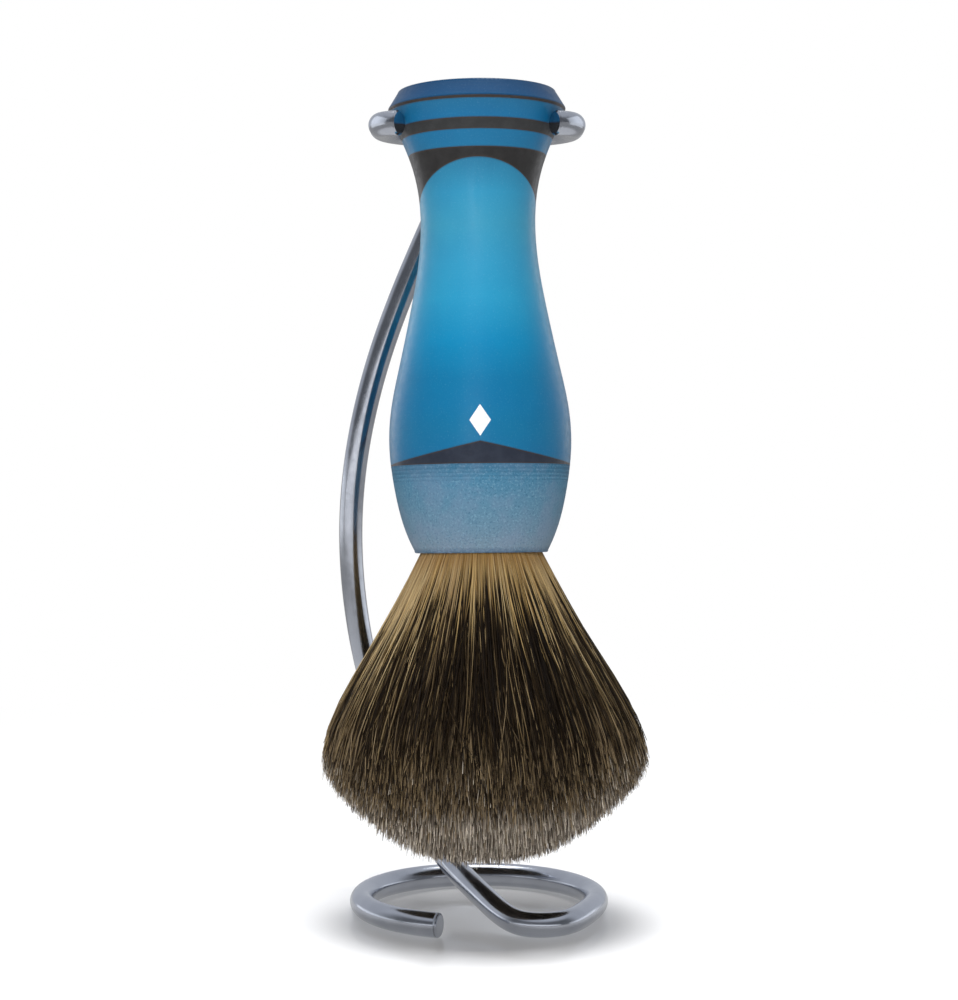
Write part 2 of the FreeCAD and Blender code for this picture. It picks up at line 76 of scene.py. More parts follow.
class Surface:
    """A material with a Principled shader, and short calls for its nodes."""

    def __init__(self, name, **constants):
        self.material = bpy.data.materials.new(name)
        self.material.use_nodes = True
        self.tree = self.material.node_tree
        self.tree.nodes.clear()
        self.out = self.tree.nodes.new("ShaderNodeOutputMaterial")
        self.bsdf = self.tree.nodes.new("ShaderNodeBsdfPrincipled")
        self.tree.links.new(self.bsdf.outputs["BSDF"], self.out.inputs["Surface"])
        for key, value in constants.items():
            self.bsdf.inputs[key.replace("_", " ")].default_value = value
        self._space = None

    def node(self, kind, **settings):
        n = self.tree.nodes.new(kind)
        for key, value in settings.items():
            setattr(n, key, value)
        return n

    def put(self, socket, value):
        if hasattr(value, "links") or isinstance(value, bpy.types.NodeSocket):
            self.tree.links.new(value, socket)
        else:
            socket.default_value = value

    def math(self, operation, a, b=None, c=None, clamp=False):
        n = self.node("ShaderNodeMath", operation=operation, use_clamp=clamp)
        for i, v in enumerate((a, b, c)):
            if v is not None:
                self.put(n.inputs[i], v)
        return n.outputs[0]

    def vector(self, operation, a, b):
        n = self.node("ShaderNodeVectorMath", operation=operation)
        self.put(n.inputs[0], a)
        self.put(n.inputs[1], b)
        return n.outputs["Value"] if operation in ("DOT_PRODUCT", "LENGTH") else n.outputs["Vector"]

    def mix(self, fac, a, b, blend="MIX"):
        n = self.node("ShaderNodeMix", data_type="RGBA", blend_type=blend)
        self.put(n.inputs["Factor"], fac)
        sockets = [s for s in n.inputs if s.type == "RGBA"]
        self.put(sockets[0], a)
        self.put(sockets[1], b)
        return [s for s in n.outputs if s.type == "RGBA"][0]

    def span(self, value, low, high, to_low=0.0, to_high=1.0, smooth=True):
        n = self.node("ShaderNodeMapRange", interpolation_type="SMOOTHSTEP" if smooth else "LINEAR")
        self.put(n.inputs["Value"], value)
        self.put(n.inputs["From Min"], low)
        self.put(n.inputs["From Max"], high)
        self.put(n.inputs["To Min"], to_low)
        self.put(n.inputs["To Max"], to_high)
        return n.outputs["Result"]

    def ramp(self, fac, stops, interpolation="EASE"):
        n = self.node("ShaderNodeValToRGB")
        n.color_ramp.interpolation = interpolation
        e = n.color_ramp.elements
        while len(e) > 1:
            e.remove(e[-1])
        e[0].position, e[0].color = stops[0]
        for position, color in stops[1:]:
            x = e.new(position)
            x.color = color
        self.put(n.inputs["Fac"], fac)
        return n.outputs["Color"]

    def noise(self, vector, scale, detail=2.0, roughness=0.5, kind="3D", w=None):
        n = self.node("ShaderNodeTexNoise", noise_dimensions=kind)
        if vector is not None:
            self.put(n.inputs["Vector"], vector)
        if w is not None:
            self.put(n.inputs["W"], w)
        n.inputs["Scale"].default_value = scale
        n.inputs["Detail"].default_value = detail
        n.inputs["Roughness"].default_value = roughness
        return n.outputs["Fac"]

    def voronoi(self, vector, scale, out="Distance", randomness=1.0):
        n = self.node("ShaderNodeTexVoronoi")
        self.put(n.inputs["Vector"], vector)
        n.inputs["Scale"].default_value = scale
        n.inputs["Randomness"].default_value = randomness
        return n.outputs[out]

    def scaled(self, vector, x, y, z):
        return self.vector("MULTIPLY", vector, (x, y, z))

    def space(self):
        """The object's place in the brush's frame in mm: (x, y, h) as a vector, and each of the three."""
        if self._space is None:
            place = self.node("ShaderNodeTexCoord").outputs["Object"]
            p = self.vector("SUBTRACT", place, tuple(PIVOT / 1000.0))
            x = self.vector("DOT_PRODUCT", p, tuple(SIDE * 1000.0))
            y = self.vector("DOT_PRODUCT", p, tuple(REAR * 1000.0))
            h = self.vector("DOT_PRODUCT", p, tuple(UP * 1000.0))
            c = self.node("ShaderNodeCombineXYZ")
            for i, v in enumerate((x, y, h)):
                self.put(c.inputs[i], v)
            self._space = (c.outputs[0], x, y, h)
        return self._space

    def place_mm(self):
        return self.scaled(self.node("ShaderNodeTexCoord").outputs["Object"], 1000.0, 1000.0, 1000.0)

    def bump(self, height, distance, strength=1.0, normal=None):
        n = self.node("ShaderNodeBump")
        n.inputs["Strength"].default_value = strength
        n.inputs["Distance"].default_value = distance
        self.put(n.inputs["Height"], height)
        if normal is not None:
            self.put(n.inputs["Normal"], normal)
        return n.outputs["Normal"]

    def set(self, name, value):
        self.put(self.bsdf.inputs[name], value)


def paint(names, surface):
    for name in names:
        mesh = nodes[name].data
        mesh.materials.clear()
        mesh.materials.append(surface.material)


# ---------------------------------------------------------------- resin
def turned_bump(s, fine, depth, extra=None, extra_depth=0.0):
    """The faint rings a lathe tool and the polishing leave, with a little random waviness."""
    vec, x, y, h = s.space()
    ring = s.noise(s.scaled(vec, 0.02, 0.02, 1.0), fine, 3.0, 0.65)
    normal = s.bump(ring, depth)
    if extra is not None:
        normal = s.bump(extra, extra_depth, normal=normal)
    s.set("Normal", normal)


def blue_resin(name, stops, fleck=0.07, seams=()):
    """Pearl-filled blue resin: a colour that runs along the handle, a fine fleck, a slow cloud, and darker glue lines.
    On the grip that colour also holds painted light and shade.
    """
    s = Surface(name, Roughness=0.36, IOR=1.5, Specular_IOR_Level=0.42)
    vec, x, y, h = s.space()
    low, high = stops[0][0], stops[-1][0]
    along = s.span(h, low, high, smooth=False)
    base = s.ramp(along, [((k - low) / (high - low), lin(*c)) for k, c in stops], "LINEAR")
    cloud = s.noise(vec, 0.16, 3.0, 0.55)
    base = s.mix(s.span(cloud, 0.35, 0.68, 0.0, 0.22), base, s.mix(1.0, base, lin(214, 232, 244), "MULTIPLY"))
    speck = s.noise(vec, 4.2, 2.0, 0.7)
    bright = s.span(speck, 0.56, 0.74, 0.0, fleck)
    base = s.mix(bright, base, lin(170, 214, 236))
    dark = s.span(s.noise(vec, 5.3, 2.0, 0.6), 0.58, 0.74, 0.0, fleck * 1.4)
    base = s.mix(dark, base, lin(10, 62, 104))
    for k, (axis, a, b) in enumerate(seams):
        level = s.math("ADD", s.math("MULTIPLY", s.math("ABSOLUTE", x if axis == "x" else y), b), a)
        gap = s.math("ABSOLUTE", s.math("SUBTRACT", h, level))
        base = s.mix(s.span(gap, 0.0, 0.24, 0.5, 0.0), base, lin(44, 56, 66))
    s.set("Base Color", base)
    rough = s.noise(vec, 0.9, 4.0, 0.6)
    s.set("Roughness", s.span(rough, 0.3, 0.7, 0.33, 0.44))
    turned_bump(s, 3.0, 0.000012)
    return s


# The grip's blue along its height holds painted light and shade: lighter and paler round the waist as a painted
# highlight where the grip faces up, darker low down as painted shade where it faces down, and darker towards the neck.
grip_colour_and_painted_shade_stops = [
    (-56.0, (12, 101, 144)),
    (-50.0, (16, 110, 152)),
    (-46.0, (14, 114, 160)),
    (-42.0, (13, 119, 165)),
    (-36.0, (14, 136, 184)),
    (-29.0, (44, 155, 197)),
    (-23.0, (52, 153, 193)),
    (-17.0, (58, 150, 184)),
    (-12.0, (48, 143, 181)),
    (-7.0, (38, 117, 152)),
    (-5.0, (34, 110, 146)),
]
paint(["grip_body"], blue_resin("blue_resin_grip_with_painted_shading", grip_colour_and_painted_shade_stops, seams=(("y", -13.5, 0.642), ("x", -51.96, -0.23))))
paint(
    ["upper_blue_band", "lower_blue_band"],
    blue_resin(
        "blue_resin_bands",
        [(-5.1, (18, 106, 148)), (-2.4, (14, 105, 148)), (-0.7, (8, 103, 150)), (2.0, (18, 100, 140)), (2.5, (30, 106, 142))],
        seams=(("x", 2.15, 0.0), ("x", -0.7, 0.0), ("x", -2.4, 0.0), ("x", -5.05, 0.0)),
    ),
)
paint(
    ["crown_cap"],
    blue_resin("blue_resin_cap", [(2.5, (2, 78, 124)), (3.4, (2, 74, 122)), (5.1, (2, 68, 112)), (5.5, (2, 72, 114))], fleck=0.06, seams=(("x", 2.55, 0.0),)),
)


def black_resin(name, levels, sheen=(41, 40, 40)):
    """Warm black resin layer with a thin brown line where the glue joint shows at each face."""
    s = Surface(name, Roughness=0.42, IOR=1.5, Specular_IOR_Level=0.38)
    vec, x, y, h = s.space()
    cloud = s.noise(vec, 0.5, 4.0, 0.6)
    base = s.mix(s.span(cloud, 0.35, 0.7), lin(*[c - 4 for c in sheen]), lin(*[c + 4 for c in sheen]))
    fleck = s.span(s.noise(vec, 5.0, 2.0, 0.6), 0.62, 0.76, 0.0, 0.35)
    base = s.mix(fleck, base, lin(70, 66, 65))
    for axis, a, b in levels:
        level = s.math("ADD", s.math("MULTIPLY", s.math("ABSOLUTE", x if axis == "x" else y), b), a)
        gap = s.math("ABSOLUTE", s.math("SUBTRACT", h, level))
        base = s.mix(s.span(gap, 0.0, 0.30, 0.75, 0.0), base, lin(62, 50, 44))
    s.set("Base Color", base)
    s.set("Roughness", s.span(s.noise(vec, 1.1, 4.0, 0.6), 0.3, 0.7, 0.36, 0.5))
    turned_bump(s, 3.2, 0.000014)
    return s


paint(
    ["crown_pinstripe", "neck_collar"],
    black_resin(
        "black_resin_layers",
        [("x", 2.55, 0.0), ("x", 2.15, 0.0), ("x", -0.7, 0.0), ("x", -2.4, 0.0), ("x", -5.05, 0.0), ("y", -13.5, 0.642)],
    ),
)
paint(["black_band"], black_resin("black_resin_band", [("x", -0.7, 0.0), ("x", -2.4, 0.0)], sheen=(49, 50, 51)))
paint(["chevron_wedge"], black_resin("black_resin_wedge", [("x", -51.96, -0.23), ("x", -55.5, 0.0)], sheen=(40, 46, 59)))


# the knot socket: pearl resin with visible grains and a few turned lines under the joint
s = Surface("pearl_resin_socket_with_painted_shading", Roughness=0.6, IOR=1.5, Specular_IOR_Level=0.3)
vec, x, y, h = s.space()
# The pearl's colour along the socket holds painted light and shade: the dark line at the mouth's edge is painted shade,
# the lighter low part is painted bounce light from the floor, and it darkens towards the top.
base = s.ramp(
    s.span(h, -69.6, -55.5, smooth=False),
    [
        (0.0, lin(64, 88, 110)),
        (0.07, lin(104, 126, 142)),
        (0.25, lin(93, 124, 144)),
        (0.55, lin(80, 122, 146)),
        (0.85, lin(66, 119, 148)),
        (1.0, lin(46, 100, 130)),
    ],
    "LINEAR",
)
grain = s.noise(vec, 2.6, 3.0, 0.75)
base = s.mix(s.span(grain, 0.5, 0.66, 0.0, 0.36), base, lin(132, 167, 187))
base = s.mix(s.span(s.noise(vec, 3.2, 3.0, 0.7), 0.52, 0.68, 0.0, 0.6), base, lin(34, 84, 116))
cell = s.voronoi(vec, 3.4, "Distance")
base = s.mix(s.span(cell, 0.0, 0.2, 0.08, 0.0), base, lin(186, 206, 218))
cloud = s.noise(vec, 0.2, 3.0, 0.6)
base = s.mix(s.span(cloud, 0.38, 0.68, 0.0, 0.3), base, lin(120, 132, 156))
groove = s.math("MULTIPLY", s.math("SINE", s.math("MULTIPLY", h, 2 * math.pi / 0.62)), s.span(h, -58.4, -58.0, 0.0, 1.0))
# Painted shade in the turned grooves: the colour darkens along each groove.
groove_painted_shade = s.span(groove, 0.45, 1.0, 0.0, 0.3)
base = s.mix(groove_painted_shade, base, lin(34, 78, 108))
s.set("Base Color", base)
s.set("Roughness", s.span(grain, 0.3, 0.7, 0.5, 0.68))
turned_bump(s, 3.6, 0.00002, extra=groove, extra_depth=0.000025)
paint(["knot_socket"], s)

# the small enamel lozenge
s = Surface("white_enamel_inlay", Roughness=0.25, IOR=1.5)
vec, x, y, h = s.space()
s.set("Base Color", s.mix(s.span(s.noise(vec, 1.4, 3.0, 0.6), 0.35, 0.7), lin(232, 236, 240), lin(247, 248, 250)))
s.set("Roughness", s.span(s.noise(vec, 2.2, 3.0, 0.6), 0.3, 0.7, 0.2, 0.34))
s.set("Normal", s.bump(s.noise(vec, 2.5, 3.0, 0.5), 0.00003))
paint(["grip_inlay"], s)


# ---------------------------------------------------------------- what is inside the socket
def inner(name, dark, light, roughness, scale, stretch=(1, 1, 1)):
    s = Surface(name, Roughness=roughness, IOR=1.5)
    vec, x, y, h = s.space()
    n = s.noise(s.scaled(vec, *stretch), scale, 4.0, 0.6)
    s.set("Base Color", s.mix(s.span(n, 0.3, 0.7), lin(*dark), lin(*light)))
    s.set("Roughness", s.span(n, 0.3, 0.7, roughness - 0.08, roughness + 0.08))
    s.set("Normal", s.bump(n, 0.00008))
    return s


paint(["socket_glue"], inner("cured_glue", (168, 158, 124), (206, 198, 168), 0.3, 0.8))
paint(["knot_plug"], inner("amber_knot_resin", (116, 66, 18), (178, 116, 44), 0.25, 0.5))
paint(["knot_binding"], inner("waxed_thread", (170, 152, 118), (214, 200, 170), 0.6, 1.4, (0.1, 0.1, 3.0)))
paint(["hair_root_bundle"], inner("hair_roots", (120, 88, 48), (206, 176, 122), 0.6, 2.4, (1.6, 1.6, 0.05)))


# ---------------------------------------------------------------- chrome
def chrome(name, colour, low, high, scratch):
    """Polished plating: a slow ripple in the metal under it, fine polishing marks and slightly duller patches."""
    s = Surface(name, Metallic=1.0, Roughness=0.1)
    p = s.place_mm()
    tone = s.noise(p, 0.12, 3.0, 0.5)
    s.set("Base Color", s.mix(s.span(tone, 0.35, 0.65), lin(*colour), lin(*[min(255, c + 12) for c in colour])))
    patch = s.noise(p, 0.6, 5.0, 0.62)
    s.set("Roughness", s.span(patch, 0.35, 0.72, low, high))
    ripple = s.bump(s.noise(p, 0.14, 2.0, 0.5), 0.00002)
    s.set("Normal", s.bump(s.noise(p, 9.0, 3.0, 0.6), scratch, normal=ripple))
    return s


wire_chrome = chrome("chrome_wire", (180, 184, 193), 0.15, 0.24, 0.0000012)
paint(["stand_rod", "cradle_fork"], wire_chrome)
paint(["cradle_braze"], chrome("chrome_braze", (186, 190, 200), 0.12, 0.24, 0.000004))

# ---------------------------------------------------------------- the stand's wire, as one smooth bent rod
WIRE = 2.0
route = [
    (-1.0, 16.036, 128.95), (-5.6, 15.9, 119.9), (-9.7, 15.9, 110.9), (-13.4, 16.0, 102.2), (-16.6, 16.1, 93.6),
    (-19.2, 16.4, 84.6), (-21.1, 16.7, 75.2), (-22.1, 17.0, 65.4), (-22.0, 17.2, 55.6), (-20.9, 17.5, 45.9),
    (-19.1, 17.8, 37.0), (-16.8, 17.7, 28.9), (-13.9, 16.5, 21.4), (-10.6, 13.8, 14.7), (-7.3, 9.7, 9.6),
    (-4.2, 4.2, 6.4), (-1.0, -3.1, 4.8),
]
for heading in (-44.2, -0.5, 43.2):
    q = math.radians(heading)
    reach = 6.0 / math.cos(math.radians(131.0 / 6))
    route.append((9.68 + math.sin(q) * reach, -12.46 - math.cos(q) * reach, WIRE))
route.append((17.25, -10.4, WIRE))
first, last, turns = math.radians(-16.4), math.radians(251.5), 14
turn_step = (last - first) / turns
for i in range(turns):
    q = first + turn_step * (i + 0.5)
    route.append((19.5 / math.cos(turn_step / 2) * math.cos(q), 19.5 / math.cos(turn_step / 2) * math.sin(q), WIRE))
route.append((19.5 * math.cos(last), 19.5 * math.sin(last), WIRE))


def wire_line(corners, spacing=0.3, softening=1.6):
    """The wire's centre line: rounded at each corner, then eased so that its curvature changes slowly."""
    c = np.array(corners, float)
    mids = (c[:-1] + c[1:]) / 2
    line = [c[0] + (mids[0] - c[0]) * k for k in np.linspace(0, 1, 30, endpoint=False)]
    for i in range(1, len(c) - 1):
        for k in np.linspace(0, 1, 60, endpoint=False):
            line.append((1 - k) ** 2 * mids[i - 1] + 2 * k * (1 - k) * c[i] + k * k * mids[i])
    line += [mids[-1] + (c[-1] - mids[-1]) * k for k in np.linspace(0, 1, 30)]
    line = np.array(line)
    run = np.concatenate([[0.0], np.cumsum(np.linalg.norm(np.diff(line, axis=0), axis=1))])
    n = int(run[-1] / spacing)
    even = np.stack([np.interp(np.linspace(0, run[-1], n), run, line[:, k]) for k in range(3)], 1)
    pad = 24
    head = even[0] + (even[0] - even[1])[None] * np.arange(pad, 0, -1)[:, None]
    tail = even[-1] + (even[-1] - even[-2])[None] * np.arange(1, pad + 1)[:, None]
    full = np.concatenate([head, even, tail])
    width = softening / spacing
    kernel = np.exp(-0.5 * (np.arange(-pad, pad + 1) / width) ** 2)
    kernel /= kernel.sum()
    return np.stack([np.convolve(full[:, k], kernel, "valid") for k in range(3)], 1)


def swept_wire(name, line, radius, sides=40, soft_end=0.35):
    """A round wire along the line, with a small round on its last edge and flat ends."""
    tangent = np.gradient(line, axis=0)
    tangent /= np.linalg.norm(tangent, axis=1, keepdims=True)
    across = np.cross(tangent[0], (0.0, 1.0, 0.0))
    across /= np.linalg.norm(across)
    rings = []
    for i in range(len(line)):
        across = across - tangent[i] * np.dot(across, tangent[i])
        across /= np.linalg.norm(across)
        rings.append((line[i], across.copy(), np.cross(tangent[i], across), radius))
    end, u, v, _ = rings.pop()
    t = tangent[-1]
    for k in (0.0, 0.3, 0.6, 0.85, 1.0):
        q = k * math.pi / 2
        rings.append((end - t * soft_end * (1 - math.sin(q)), u, v, radius - soft_end * (1 - math.cos(q))))
    q = np.arange(sides) * 2 * math.pi / sides
    verts, faces = [], []
    for centre, u, v, r in rings:
        verts += list(centre + r * (np.cos(q)[:, None] * u + np.sin(q)[:, None] * v))
    for j in range(len(rings) - 1):
        for i in range(sides):
            k = (i + 1) % sides
            faces.append((j * sides + i, j * sides + k, (j + 1) * sides + k, (j + 1) * sides + i))
    smooth = [True] * len(faces)
    faces.append(tuple(range(sides - 1, -1, -1)))
    base = (len(rings) - 1) * sides
    faces.append(tuple(base + i for i in range(sides)))
    smooth += [False, False]
    mesh = bpy.data.meshes.new(name)
    mesh.from_pydata([tuple(p / 1000.0) for p in np.array(verts)], [], faces)
    mesh.polygons.foreach_set("use_smooth", smooth)
    mesh.update()
    obj = bpy.data.objects.new(name, mesh)
    scene.collection.objects.link(obj)
    return obj


rod = swept_wire("stand_wire", wire_line(route), WIRE)
rod.data.materials.append(wire_chrome.material)
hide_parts("stand_rod")
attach(rod, "stand")

# ---------------------------------------------------------------- hair
outer_profile = np.array(
    [
        (9.85, -69.6), (10.3, -70.6), (10.9, -71.6), (11.9, -73.6), (13.0, -75.5), (14.0, -77.5), (15.15, -79.4),
        (16.2, -81.4), (17.3, -83.3), (18.5, -85.3), (19.7, -87.2), (20.8, -89.2), (21.85, -91.1), (23.0, -93.1),
        (24.0, -95.0), (24.9, -96.95), (25.7, -98.9), (26.2, -100.9), (26.45, -102.6),
    ]
)
dome_profile = np.array(
    [
        (0.0, -120.0), (4.0, -119.9), (6.6, -119.6), (9.2, -119.0), (11.8, -118.0), (13.6, -117.0), (15.4, -115.9),
        (17.05, -114.8), (18.5, -113.5), (19.9, -112.5), (20.95, -111.6), (21.9, -110.6), (22.7, -109.6), (23.6, -108.6),
        (24.4, -107.7), (25.0, -106.7), (25.6, -105.7), (26.0, -104.7), (26.3, -103.8), (26.45, -102.6),
    ]
)
steps = np.concatenate([[0.0], np.cumsum(np.hypot(*np.diff(outer_profile, axis=0).T))])
steps /= steps[-1]


def outer_at(t):
    """Radius and height of the outermost hair at share t of its length; past 1 it runs on straight."""
    t = np.asarray(t, float)
    r = np.interp(t, steps, outer_profile[:, 0])
    h = np.interp(t, steps, outer_profile[:, 1])
    over = np.clip(t - 1.0, 0.0, None)
    return r + over * 18.0, h - over * 33.0


def hair_point(share, angle, t):
    """A point of the hair that starts at that share of the mouth's radius, at t from root to tip."""
    r_out, h_out = outer_at(t)
    h_tip = np.interp(share * 26.45, dome_profile[:, 0], dome_profile[:, 1])
    g_out = (h_out - MOUTH) / (-102.6 - MOUTH)
    g = (1.0 - share) * t + share * g_out
    h = MOUTH + (h_tip - MOUTH) * g
    r = share * r_out
    return r, h


COLUMNS = 64
UV_NAME = "OFBake"


def strands(name, share, angle, t0, t1, rings, thick, column, rng, lift, sway, clump=None, clump_pull=0.0):
    """One mesh of three-sided tapering hairs."""
    n = len(share)
    k = np.linspace(0.0, 1.0, rings)
    t = t0[:, None] + (t1 - t0)[:, None] * k[None, :]
    r, h = hair_point(share[:, None], angle[:, None], t)
    turn = angle[:, None] + sway[:, None] * np.clip(t, 0, None) ** 1.5
    if clump is not None:
        turn = turn + (clump - angle)[:, None] * clump_pull * np.clip(t, 0, 1) ** 2
    phase = rng.uniform(0, 2 * math.pi, (n, 1))
    freq = rng.uniform(0.6, 1.6, (n, 1))
    turn = turn + 0.018 * np.sin(2 * math.pi * freq * t + phase) * t
    r = r + lift[:, None] * np.clip(t, 0, None) ** 1.5 + 0.22 * np.sin(2 * math.pi * freq * t * 0.9 + phase * 1.7) * t
    x, y = r * np.cos(turn), r * np.sin(turn)
    x = x + (0.62 * share[:, None] ** 2 - 0.35) * np.clip(t, 0, None) ** 3
    centre = np.stack([x, y, h + 0 * x], -1)
    along = np.gradient(centre, axis=1)
    along /= np.linalg.norm(along, axis=-1, keepdims=True)
    out = np.stack([np.cos(turn), np.sin(turn), 0 * turn], -1)
    a = np.cross(along, out)
    a /= np.linalg.norm(a, axis=-1, keepdims=True)
    b = np.cross(along, a)
    girth = thick[:, None] * np.interp(t, [0.0, 0.25, 0.7, 0.93, 1.02], [0.75, 0.95, 1.0, 0.75, 0.22])
    twist = rng.uniform(0, 2 * math.pi, (n, 1))
    verts = []
    for side in range(3):
        q = twist + 2 * math.pi * side / 3
        verts.append(centre + girth[..., None] * (np.cos(q)[..., None] * a + np.sin(q)[..., None] * b))
    verts = np.stack(verts, 2)  # hair, ring, side, xyz
    world = brush_to_world(verts[..., 0], verts[..., 1], verts[..., 2]).reshape(-1, 3)
    i = np.arange(n)[:, None, None]
    j = np.arange(rings - 1)[None, :, None]
    s3 = np.arange(3)[None, None, :]
    base = i * rings * 3 + j * 3
    quad = np.stack([base + s3, base + (s3 + 1) % 3, base + 3 + (s3 + 1) % 3, base + 3 + s3], -1).reshape(-1, 4)
    mesh = bpy.data.meshes.new(name)
    mesh.vertices.add(len(world))
    mesh.vertices.foreach_set("co", world.astype(np.float32).ravel())
    mesh.loops.add(quad.size)
    mesh.loops.foreach_set("vertex_index", quad.astype(np.int32).ravel())
    mesh.polygons.add(len(quad))
    mesh.polygons.foreach_set("loop_start", np.arange(0, quad.size, 4, dtype=np.int32))
    mesh.polygons.foreach_set("use_smooth", np.ones(len(quad), bool))
    mesh.update()
    u0 = (column[:, None, None] + 0.2 + 0.2 * s3) / COLUMNS
    u1 = (column[:, None, None] + 0.4 + 0.2 * s3) / COLUMNS
    late = np.clip((share - 0.72) / 0.22, 0, 1) * (0.03 + 0.13 * np.sin(angle) ** 2)
    late = late * rng.uniform(0.35, 1.45, n) + 0.035 * np.clip(share - 0.5, 0, 1) * np.sin(5 * angle + 1.0)
    late = late + 0.03 * np.clip(share - 0.5, 0, 1) * np.sin(17 * angle + 2.2)
    warp = 0.085 * np.sin(angle) ** 4 - 0.09 * np.clip(-np.cos(angle), 0, 1) - 0.03 * np.clip(np.cos(angle), 0, 1)
    tv = t * (1.0 - late - np.abs(rng.normal(0, 0.025, n)))[:, None] + warp[:, None] * 4.0 * np.clip(t * (1 - t), 0, 1)
    tv = np.clip(tv, 0.002, 0.998)
    v0 = tv[:, :-1, None] + 0 * u0
    v1 = tv[:, 1:, None] + 0 * u0
    u0, u1 = u0 + 0 * v0, u1 + 0 * v0
    uv = np.stack([np.stack([u0, v0], -1), np.stack([u1, v0], -1), np.stack([u1, v1], -1), np.stack([u0, v1], -1)], -2)
    layer = mesh.uv_layers.new(name=UV_NAME)
    layer.data.foreach_set("uv", uv.astype(np.float32).ravel())
    obj = bpy.data.objects.new(name, mesh)
    scene.collection.objects.link(obj)
    return obj


def hair_surface(name):
    """Badger hair: tan at the root, a near-black band, and a grey-brown tip. Light kinds keep a pale stripe through the band."""
    s = Surface(name, Roughness=0.46, IOR=1.5, Specular_IOR_Level=0.22)
    uv = s.node("ShaderNodeUVMap", uv_map=UV_NAME).outputs["UV"]
    sep = s.node("ShaderNodeSeparateXYZ")
    s.put(sep.inputs[0], uv)
    u, v = sep.outputs[0], sep.outputs[1]
    kind = s.math("FLOOR", s.math("MULTIPLY", u, float(COLUMNS)))
    light = s.math("DIVIDE", kind, float(COLUMNS - 1))

    def chance(offset):
        n = s.node("ShaderNodeTexWhiteNoise", noise_dimensions="1D")
        s.put(n.inputs["W"], s.math("ADD", kind, offset))
        return n.outputs["Value"]

    a, b, c, d = chance(3.7), chance(51.3), chance(97.9), chance(141.1)
    root = s.mix(a, lin(120, 86, 39), lin(198, 166, 108))
    root = s.mix(s.math("MULTIPLY", s.math("POWER", light, 1.6), 0.78), root, lin(210, 188, 146))
    root = s.mix(s.span(v, 0.0, 0.10, 0.5, 0.0), root, lin(140, 100, 48))
    wander = s.noise(s.scaled(uv, 640.0, 4.2, 1.0), 1.0, 2.0, 0.5)
    dark = s.ramp(
        s.math("ADD", s.math("MULTIPLY", s.math("SUBTRACT", wander, 0.545), 1.15), s.math("ADD", s.math("MULTIPLY", light, 0.82), s.math("MULTIPLY", d, 0.18))),
        [(0.0, lin(20, 14, 9)), (0.3, lin(30, 22, 14)), (0.55, lin(52, 41, 27)), (0.75, lin(108, 90, 63)), (1.0, lin(178, 156, 116))],
        "LINEAR",
    )
    tip = s.mix(s.math("POWER", b, 1.2), lin(64, 54, 45), lin(242, 229, 210))
    gold = s.mix(s.math("POWER", a, 1.5), lin(32, 25, 18), lin(182, 158, 122))
    # the dark band starts late on the lighter kinds, and on some it ends early
    spread = s.math("POWER", c, 2.2)
    start = s.math("ADD", s.math("MULTIPLY", spread, 0.30), s.math("SUBTRACT", s.math("MULTIPLY", light, 0.26), 0.05))
    end = s.math("ADD", start, s.math("ADD", s.math("MULTIPLY", a, 0.14), 0.07))
    body = s.mix(s.span(v, start, end), root, dark)
    early = s.math("MULTIPLY", s.math("POWER", d, 2.0), 0.42)
    rise = s.math("SUBTRACT", s.math("ADD", s.math("MULTIPLY", a, 0.09), 0.905), early)
    fade = s.math("ADD", s.math("MULTIPLY", b, 0.08), 0.05)
    colour = s.mix(s.span(v, rise, s.math("ADD", rise, fade)), body, gold)
    last = s.math("ADD", s.math("MULTIPLY", c, 0.08), 0.86)
    colour = s.mix(s.span(v, last, s.math("ADD", last, 0.07)), colour, tip)
    s.set("Base Color", colour)
    s.set("Roughness", s.span(v, 0.0, 1.0, 0.4, 0.55))
    s.set("Normal", s.bump(s.noise(uv, 240.0, 2.0, 0.5), 0.00001))
    return s


hair_material = hair_surface("badger_hair").material


def kinds(angle, rng, spread=0.22, bias=0.0):
    """Hairs of one kind lie together in locks, so the light share drifts round the knot. Hairs on the left and right
    flanks get lighter kinds as a painted sheen.
    """
    slow = 0.5 + 0.16 * np.sin(angle * 9 + 0.7) + 0.12 * np.sin(angle * 23 + 2.1) + 0.10 * np.sin(angle * 61 + 4.0)
    pick = rng.uniform(0, 1, len(angle)) ** 2.4
    # side is a painted sheen: lighter hair kinds on the left and right flanks of the knot, strongest on the left,
    # standing in for light glancing off the hair.
    side = 0.42 * (1.0 - np.abs(np.sin(angle))) ** 0.8 + 0.09 * np.clip(-np.cos(angle), 0, 1) - 0.06 * np.clip(np.cos(angle), 0, 1) - 0.02
    value = np.clip(0.72 * pick + 0.34 * slow + rng.normal(0, spread * 0.25, len(angle)) + side + bias, 0, 1)
    return np.clip((value * COLUMNS).astype(int), 0, COLUMNS - 1)


def lock_of(angle, centres):
    """The nearest lock's middle for each hair, by angle."""
    order = np.sort(centres)
    i = np.searchsorted(order, angle)
    left = order[(i - 1) % len(order)]
    right = order[i % len(order)]
    dl = (angle - left + math.pi) % (2 * math.pi) - math.pi
    dr = (right - angle + math.pi) % (2 * math.pi) - math.pi
    return np.where(np.abs(dl) < np.abs(dr), angle - dl, angle + dr)


